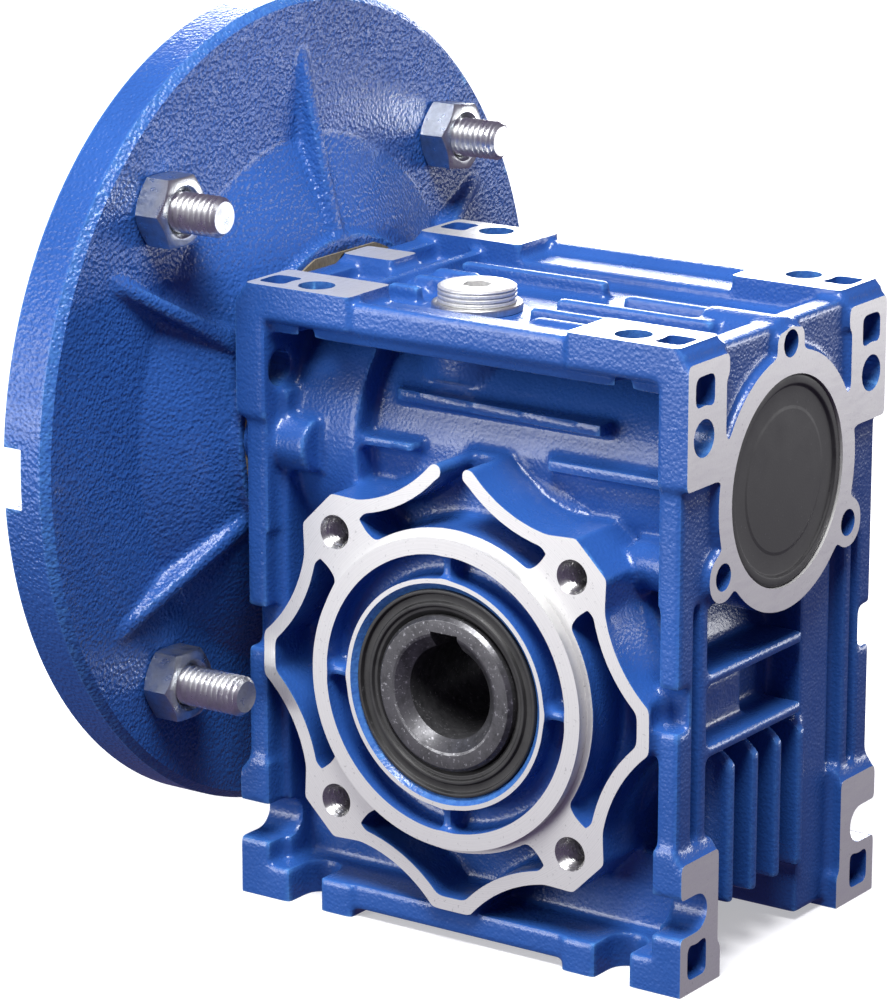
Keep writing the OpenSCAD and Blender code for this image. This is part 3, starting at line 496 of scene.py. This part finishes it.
def motor_nuts():
    r_hole, x_top = 4.02, X_PLATE + NUT_HEIGHT
    solids = [hexagon("x", (0, y, z), NUT_FLATS, X_PLATE, x_top, 1, 1, turn=k)
              for (y, z), k in zip(bolt_places(), (8, 0, 0, 20))]
    obj = solid_object("motor_nuts_chamfered", solids)
    bore = [(0, X_PLATE - 1), (r_hole, X_PLATE - 1), (r_hole, x_top - 1.0),
            (5.2, x_top + 0.2), (0, x_top + 0.3)]
    cut(obj, [lathe("x", (0, y, z), bore, 64) for y, z in bolt_places()])
    return obj


def filler_plug():
    """The screwed plug: a grooved rim, a flat top with a small hexagon socket."""
    z0, r = TOP_POCKET, 7.5
    profile = [(0, z0 - 9, 0), (6.4, z0 - 9, 0.4), (6.9, z0 + 1.5, 0.1), (r - 0.2, z0 + 1.9, 0.15)]
    for k in range(3):
        low = z0 + 1.9 + 0.9 * k
        profile += [(r, low + 0.15, 0.1), (r, low + 0.65, 0.1),
                    (r - 0.35, low + 0.8, 0.05), (r - 0.35, low + 0.9, 0.05)]
    profile += [(r, z0 + 4.7, 0.1), (r, z0 + 4.9, 0.25), (r - 0.5, z0 + 5.2, 0.2),
                (3.6, z0 + 5.2, 0.2), (0, z0 + 5.1, 0)]
    obj = solid_object("filler_plug_turned", [lathe("z", (*PLUG_AT, 0), rounded(profile, 3), 96)])
    cut(obj, [hexagon("z", (*PLUG_AT, 0), 5.0, z0 + 1.4, z0 + 7, 0, 0, turn=12)])
    return obj


def plug_washer():
    z0 = TOP_POCKET + 0.4
    return solid_object("plug_washer_turned", [lathe("z", (*PLUG_AT, 0), rounded(
        [(6.95, z0, 0.1), (8.7, z0, 0.3), (8.7, z0 + 1.5, 0.4), (6.95, z0 + 1.5, 0.2)]), 96)])


def end_cap():
    """The blind cap: a rubber-skinned cup with a rounded rim and a very shallow dish."""
    x, r = HALF_X, R_CAP - 0.02
    profile = [(0, x - 3.0, 0), (r - 2.6, x - 3.0, 0.3), (r - 2.6, x - 5.5, 0.2), (r, x - 5.5, 0.4),
               (r, x - 0.4, 0.7), (r - 1.9, x - 0.4, 0.5), (r - 2.3, x - 0.95, 0.4), (r - 6, x - 0.95, 0.6),
               (r - 6.6, x - 0.85, 0.6), (0, x - 0.85, 0)]
    return solid_object("worm_end_cap_moulded", [lathe("x", WORM_LINE, rounded(profile), 160)])


def output_seal(name, side):
    """A rotary shaft seal: outer case, a groove, a raised bead and the lip on the hub."""
    y = 38.5
    corners = [(15.06, y - 1.6, 0.1), (15.9, y - 0.7, 0.3), (16.5, y - 0.7, 0.2), (16.8, y - 0.2, 0.2),
               (17.4, y - 0.2, 0.2), (17.7, y - 0.75, 0.15), (19.0, y - 0.75, 0.15), (19.25, y, 0.2),
               (R_SEAL - 0.02, y, 0.3), (R_SEAL - 0.02, y - 7, 0.3), (17.0, y - 7, 0.2),
               (17.0, y - 4.8, 0.2), (15.7, y - 3.6, 0.2), (15.06, y - 3.2, 0.1)]
    loop = rounded([(r, side * t, f) for r, t, f in corners])
    return solid_object(name, [lathe("y", (0, 0, 0), loop, 160)])


def input_seal():
    x = -49.5
    corners = [(12.56, x + 1.6, 0.1), (13.4, x + 0.7, 0.3), (14.6, x + 0.7, 0.3), (15.2, x, 0.3),
               (23.48, x, 0.4), (23.48, x + 7, 0.3), (16.2, x + 7, 0.2), (16.2, x + 3, 0.2),
               (12.56, x + 3.2, 0.1)]
    return solid_object("input_seal_moulded", [lathe("x", WORM_LINE, rounded(corners), 128)])


def output_hub():
    """The keyed hub: chamfered bore and rims, shoulder, and a flat land inside each end."""
    half = [(9.0, 0.0, 0), (9.0, 36.9, 0.1), (11.2, 38.9, 0.15), (11.7, Y_HUB, 0.1), (14.3, Y_HUB, 0.2),
            (15.0, 38.2, 0.15), (15.0, 17.0, 0), (18.0, 17.0, 0.4), (18.0, 9.0, 0), (22.0, 9.0, 0),
            (22.0, 0.0, 0)]
    loop = half + [(r, -t, f) for r, t, f in reversed(half[1:-1])]
    obj = solid_object("output_hub_turned", [lathe("y", (0, 0, 0), rounded(loop), 160)])
    cut(obj, [box_solid((-3, -45, 4), (3, 45, 11.8))])
    return obj


# ---------- materials ----------

class Paint:
    """A material whose nodes are added one by one."""

    def __init__(self, name):
        self.material = bpy.data.materials.new(name)
        self.material.use_nodes = True
        self.nodes = self.material.node_tree.nodes
        self.links = self.material.node_tree.links
        self.shader = self.nodes["Principled BSDF"]
        self.place = self.nodes.new("ShaderNodeTexCoord").outputs["Object"]

    def link(self, value, socket):
        if isinstance(value, bpy.types.NodeSocket):
            self.links.new(value, socket)
        else:
            socket.default_value = value

    def node(self, kind, *values, out=0, **settings):
        n = self.nodes.new("ShaderNode" + kind)
        for key, value in settings.items():
            setattr(n, key, value)
        for i, value in enumerate(values):
            self.link(value, n.inputs[i])
        return n.outputs[out]

    def stretch(self, scale, turn=(0, 0, 0)):
        n = self.nodes.new("ShaderNodeMapping")
        self.link(self.place, n.inputs["Vector"])
        n.inputs["Rotation"].default_value = [math.radians(a) for a in turn]
        n.inputs["Scale"].default_value = scale
        return n.outputs[0]

    def noise(self, scale, detail, roughness=0.5, at=None):
        n = self.nodes.new("ShaderNodeTexNoise")
        self.link(at if at is not None else self.place, n.inputs["Vector"])
        n.inputs["Scale"].default_value = scale
        n.inputs["Detail"].default_value = detail
        n.inputs["Roughness"].default_value = roughness
        return n.outputs["Fac"]

    def cells(self, scale):
        """Rounded dimples, like the skin of an orange."""
        n = self.nodes.new("ShaderNodeTexVoronoi")
        n.feature = "SMOOTH_F1"
        self.link(self.place, n.inputs["Vector"])
        n.inputs["Scale"].default_value = scale
        n.inputs["Smoothness"].default_value = 0.7
        return n.outputs["Distance"]

    def ramp(self, value, *stops):
        """A colour ramp of (place, colour or grey) stops."""
        n = self.nodes.new("ShaderNodeValToRGB")
        self.link(value, n.inputs["Fac"])
        while len(n.color_ramp.elements) < len(stops):
            n.color_ramp.elements.new(1.0)
        for element, (at, colour) in zip(n.color_ramp.elements, stops):
            element.position = at
            element.color = (colour,) * 3 + (1,) if isinstance(colour, float) else (*colour, 1)
        return n.outputs["Color"]

    def blend(self, share, a, b):
        n = self.nodes.new("ShaderNodeMix")
        n.data_type = "RGBA"
        self.link(share, n.inputs[0])
        for value, socket in ((a, n.inputs[6]), (b, n.inputs[7])):
            self.link(value if isinstance(value, bpy.types.NodeSocket) else (*value, 1), socket)
        return n.outputs[2]

    def maths(self, kind, a, b):
        return self.node("Math", a, b, operation=kind)

    def bump(self, height, strength, distance, after=None):
        n = self.nodes.new("ShaderNodeBump")
        n.inputs["Strength"].default_value = strength
        n.inputs["Distance"].default_value = distance * MM
        self.link(height, n.inputs["Height"])
        if after is not None:
            self.link(after, n.inputs["Normal"])
        return n.outputs["Normal"]

    def finish(self, **values):
        for key, value in values.items():
            socket = self.shader.inputs[key.replace("_", " ")]
            if isinstance(value, tuple) and len(value) == 3:
                value = (*value, 1)
            self.link(value, socket)
        return self.material


def blue_paint(name, grain, size):
    """Glossy blue paint with a painted highlight: its sharp edges are coloured a lighter blue. Its
    orange-peel bumps are grain mm high, and there are size of them to a metre."""
    p = Paint(name)
    broad = p.noise(28, 3)
    base = p.ramp(broad, (0.3, (0.018, 0.072, 0.275)), (0.7, (0.025, 0.097, 0.355)))
    edge = p.ramp(p.node("NewGeometry", out="Pointiness"), (0.52, 0.0), (0.60, 1.0))
    # painted highlight: convex edges (high pointiness) are mixed towards a lighter blue, broken up by noise
    painted_edge_highlight = p.maths("MULTIPLY", edge, p.ramp(p.noise(700, 4, 0.7), (0.35, 0.15), (0.7, 1.0)))
    colour = p.blend(painted_edge_highlight, base, (0.12, 0.34, 0.70))
    peel = p.cells(size)
    fine = p.noise(size * 1.8, 2.0, 0.5)
    normal = p.bump(peel, 1.0, grain)
    normal = p.bump(fine, 1.0, grain * 0.5, normal)
    rough = p.ramp(p.noise(160, 4, 0.6), (0.3, 0.24), (0.75, 0.36))
    return p.finish(Base_Color=colour, Roughness=rough, Normal=normal, Specular_IOR_Level=0.45,
                    Coat_Weight=0.12, Coat_Roughness=0.08)


def machined_aluminium(name, turned=False):
    """Bright cut aluminium. The tool marks run round the y axis if it is turned, and else are streaks."""
    p = Paint(name)
    if not turned:
        streak = p.noise(1.0, 3, 0.6, at=p.stretch((2600, 160, 700), (0, 0, 24)))
        cross = p.noise(1.0, 3, 0.6, at=p.stretch((180, 2600, 1900), (14, 0, -20)))
        marks = p.maths("ADD", p.maths("MULTIPLY", streak, 0.6), p.maths("MULTIPLY", cross, 0.4))
    else:
        flat = p.node("VectorMath", p.place, (1, 0, 1), operation="MULTIPLY")
        radius = p.node("VectorMath", flat, operation="LENGTH", out="Value")
        line = p.node("CombineXYZ", radius, 0.0, 0.0)
        rings = p.noise(5200, 2, 0.5, at=line)
        cloud = p.noise(260, 3)
        marks = p.maths("ADD", p.maths("MULTIPLY", rings, 0.7), p.maths("MULTIPLY", cloud, 0.3))
    spots = p.ramp(p.noise(1500, 2, 0.6), (0.66, 0.0), (0.72, 1.0))
    bright = p.ramp(marks, (0.3, (0.60, 0.60, 0.59)), (0.7, (0.80, 0.80, 0.785)))
    colour = p.blend(p.maths("MULTIPLY", spots, 0.5), bright, (0.3, 0.3, 0.3))
    rough = p.ramp(marks, (0.3, 0.44), (0.7, 0.30))
    normal = p.bump(marks, 0.35, 0.03)
    return p.finish(Base_Color=colour, Metallic=0.6, Roughness=rough, Normal=normal)


def zinc(name, tint):
    """Zinc plate with a faint mottle and fine scratches."""
    p = Paint(name)
    mottle = p.noise(420, 4, 0.6)
    dark = tuple(c * 0.62 for c in tint)
    colour = p.ramp(mottle, (0.3, dark), (0.68, tint))
    scratch = p.noise(1.0, 3, 0.7, at=p.stretch((500, 3000, 3000)))
    rough = p.ramp(mottle, (0.3, 0.42), (0.7, 0.24))
    return p.finish(Base_Color=colour, Metallic=1.0, Roughness=rough, Normal=p.bump(scratch, 0.25, 0.03))


def dark_steel(name, low, high, rough_low, rough_high, size=500, grain=0.35, metallic=0.75):
    """Phosphated or turned dark steel, speckled where the oxide is thin."""
    p = Paint(name)
    mottle = p.noise(size, 5, 0.65)
    speck = p.ramp(p.noise(size * 3.2, 2, 0.6), (0.62, 0.0), (0.7, 1.0))
    colour = p.blend(p.maths("MULTIPLY", speck, 0.55), p.ramp(mottle, (0.3, low), (0.7, high)),
                     tuple(min(1.0, c * 3.2) for c in high))
    rough = p.ramp(mottle, (0.3, rough_high), (0.7, rough_low))
    return p.finish(Base_Color=colour, Metallic=metallic, Roughness=rough, Normal=p.bump(mottle, grain, 0.08))


def rubber(name, low=0.010, high=0.026, gloss=0.42):
    """Black moulded rubber with a fine grain and a little dust."""
    p = Paint(name)
    cloud = p.noise(180, 5, 0.65)
    dust = p.ramp(p.noise(1300, 2, 0.5), (0.70, 0.0), (0.76, 1.0))
    black = p.ramp(cloud, (0.3, low), (0.7, high))
    colour = p.blend(p.maths("MULTIPLY", dust, 0.35), black, (0.16, 0.16, 0.17))
    rough = p.ramp(cloud, (0.3, gloss), (0.7, gloss + 0.14))
    return p.finish(Base_Color=colour, Roughness=rough, Normal=p.bump(p.noise(2200, 3, 0.6), 0.3, 0.05))


def turned_metal(name, low, high, roughness):
    """Ground or turned bright metal with fine lines."""
    p = Paint(name)
    line = p.noise(1.0, 3, 0.6, at=p.stretch((3600, 240, 240)))
    colour = p.ramp(line, (0.3, low), (0.7, high))
    rough = p.ramp(line, (0.3, roughness + 0.1), (0.7, roughness))
    return p.finish(Base_Color=colour, Metallic=1.0, Roughness=rough, Normal=p.bump(line, 0.2, 0.02))


def fibre(name):
    """Brown gasket paper with faint strands."""
    p = Paint(name)
    strands = p.noise(1.0, 4, 0.7, at=p.stretch((900, 2400, 900), (20, 0, 35)))
    colour = p.ramp(strands, (0.3, (0.12, 0.10, 0.065)), (0.7, (0.26, 0.22, 0.15)))
    return p.finish(Base_Color=colour, Roughness=0.85, Normal=p.bump(strands, 0.4, 0.05))


def pale_floor():
    """A pale sheet that glows a little, so that it stays white round the object."""
    p = Paint("pale_floor")
    colour = p.ramp(p.noise(6, 3), (0.3, (0.60, 0.605, 0.615)), (0.7, (0.64, 0.64, 0.645)))
    return p.finish(Base_Color=colour, Roughness=0.6, Emission_Color=(1.0, 1.0, 1.0), Emission_Strength=0.42)


def set_materials(obj, *materials):
    obj.data.materials.clear()
    for m in materials:
        obj.data.materials.append(m)


# ---------- assembly ----------

def piece(obj, body, slot, nodes, *materials):
    """Gives a finished object its materials, keeping each face's slot, and puts it in its nodes' place."""
    indices = [f.material_index for f in obj.data.polygons]
    set_materials(obj, *materials)
    obj.data.polygons.foreach_set("material_index", indices)
    shade(obj)
    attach(obj, body)
    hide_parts(*nodes)
    return obj


def build():
    blue = blue_paint("blue_paint_housing", 0.07, 1500)
    blue_flange = blue_paint("blue_paint_flange", 0.24, 1350)
    milled = machined_aluminium("milled_aluminium")
    turned = machined_aluminium("turned_aluminium", turned=True)
    thread = dark_steel("cut_thread", (0.4, 0.4, 0.4), (0.62, 0.62, 0.61), 0.24, 0.34, 900, 0.1, 1.0)
    cast_materials = (blue, milled, turned, thread)
    piece(housing_casting(), "case", "blue_paint", ["housing"], *cast_materials)
    piece(cover_casting(), "case", "blue_paint", ["side_cover"], *cast_materials)
    piece(flange_casting(), "case", "blue_paint", ["input_flange"], blue_flange, milled, turned)

    bright_zinc = zinc("bright_zinc", (0.86, 0.87, 0.88))
    nut_zinc = zinc("nut_zinc", (0.72, 0.75, 0.77))
    piece(motor_bolts(), "case", "zinc_steel", ["motor_bolts"], bright_zinc)
    piece(motor_nuts(), "case", "zinc_steel", ["motor_nuts"], nut_zinc)
    piece(filler_plug(), "case", "zinc_steel", ["filler_plug"], machined_aluminium("plug_metal"))
    piece(plug_washer(), "case", "washer_aluminium", ["plug_washer"], turned_metal(
        "washer_aluminium", (0.55, 0.55, 0.54), (0.74, 0.74, 0.73), 0.35))

    seal = rubber("seal_rubber")
    piece(end_cap(), "case", "black_rubber", ["worm_end_cap"], rubber("cap_rubber", 0.014, 0.034, 0.5))
    piece(output_seal("output_seal_front_moulded", -1), "case", "black_rubber", ["output_seal_front"], seal)
    piece(output_seal("output_seal_rear_moulded", 1), "case", "black_rubber", ["output_seal_rear"], seal)
    piece(input_seal(), "case", "black_rubber", ["input_oil_seal"], seal)
    piece(output_hub(), "output", "hub_iron", ["output_hub"], dark_steel(
        "hub_iron", (0.05, 0.05, 0.054), (0.15, 0.15, 0.158), 0.30, 0.48))

    polished = turned_metal("bearing_steel", (0.6, 0.6, 0.62), (0.8, 0.8, 0.82), 0.14)
    brass = turned_metal("cage_brass", (0.5, 0.36, 0.13), (0.72, 0.54, 0.25), 0.3)
    bronze = turned_metal("wheel_bronze", (0.42, 0.26, 0.1), (0.64, 0.43, 0.2), 0.34)
    ground = turned_metal("worm_steel", (0.4, 0.4, 0.42), (0.58, 0.58, 0.6), 0.22)
    oxide = dark_steel("black_oxide", (0.02, 0.02, 0.022), (0.06, 0.06, 0.065), 0.36, 0.5, 900, 0.2)
    spring = dark_steel("spring_steel", (0.06, 0.06, 0.065), (0.14, 0.14, 0.15), 0.3, 0.45, 900, 0.2)
    paper = fibre("gasket_fibre")
    kept = {"side_cover_screws": oxide, "flange_screws": oxide, "side_cover_o_ring": seal,
            "flange_gasket": paper, "rear_circlip": spring, "input_circlip": spring,
            "worm_shim": spring, "worm_wheel_rim": bronze, "worm_shaft": ground}
    for name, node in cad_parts.items():
        if node.hide_render:
            continue
        if name.endswith("_cage"):
            set_materials(node, brass)
        elif name.endswith(("_race", "_balls")):
            set_materials(node, polished)
        else:
            set_materials(node, kept[name])


def aim(obj, target):
    obj.rotation_euler = (Vector(target) - obj.location).to_track_quat("-Z", "Y").to_euler()


def area_light(name, at, target, size, power):
    data = bpy.data.lights.new(name, "AREA")
    data.shape = "RECTANGLE"
    data.size, data.size_y = size
    data.energy = power
    light = bpy.data.objects.new(name, data)
    bpy.context.scene.collection.objects.link(light)
    light.location = at
    aim(light, target)


def studio():
    scene = bpy.context.scene
    mesh = bpy.data.meshes.new("floor")
    r, z = 3.0, Z_FOOT * MM - 0.0001
    mesh.from_pydata([(-r, -r, z), (r, -r, z), (r, r, z), (-r, r, z)], [], [(0, 1, 2, 3)])
    floor = bpy.data.objects.new("floor", mesh)
    floor.visible_diffuse = False       # no haze from the floor on the paint, so its shadows stay deep
    floor.visible_glossy = False
    scene.collection.objects.link(floor)
    set_materials(floor, pale_floor())

    # a dim violet fill lights the object, and the camera sees a pale wall
    world = bpy.data.worlds.new("studio")
    scene.world = world
    world.use_nodes = True
    nodes, links = world.node_tree.nodes, world.node_tree.links
    fill, wall = nodes["Background"], nodes.new("ShaderNodeBackground")
    fill.inputs["Color"].default_value = (0.70, 0.55, 1.0, 1)
    fill.inputs["Strength"].default_value = 0.16
    wall.inputs["Color"].default_value = (0.88, 0.885, 0.90, 1)
    mix = nodes.new("ShaderNodeMixShader")
    links.new(nodes.new("ShaderNodeLightPath").outputs["Is Camera Ray"], mix.inputs[0])
    links.new(fill.outputs[0], mix.inputs[1])
    links.new(wall.outputs[0], mix.inputs[2])
    links.new(mix.outputs[0], nodes["World Output"].inputs["Surface"])
    # the low lights stand where the milled faces mirror them to the camera
    middle = (-0.01, 0.0, 0.03)
    area_light("key", (0.14, -0.30, 0.66), middle, (0.30, 0.30), 9.5)
    area_light("front", (-0.45, -0.90, 0.25), middle, (0.5, 0.5), 5)
    area_light("front_low", (-0.50, -0.85, 0.02), middle, (0.7, 0.12), 2.6)
    area_light("back", (-0.80, 1.20, 0.46), middle, (0.9, 0.5), 18)
    area_light("right_low", (0.75, 0.95, 0.02), middle, (0.9, 0.14), 5)
    scene.view_settings.view_transform = "Standard"

    data = bpy.data.cameras.new("camera")
    camera = bpy.data.objects.new("camera", data)
    scene.collection.objects.link(camera)
    data.sensor_width = 36
    data.lens = 161.28          # with the place and target, fitted to the photo
    data.clip_start, data.clip_end = 0.05, 20
    camera.location = (0.4499, -0.6886, 0.2534)
    aim(camera, (-0.02666, -0.00014, 0.02454))
    scene.camera = camera


build()
studio()
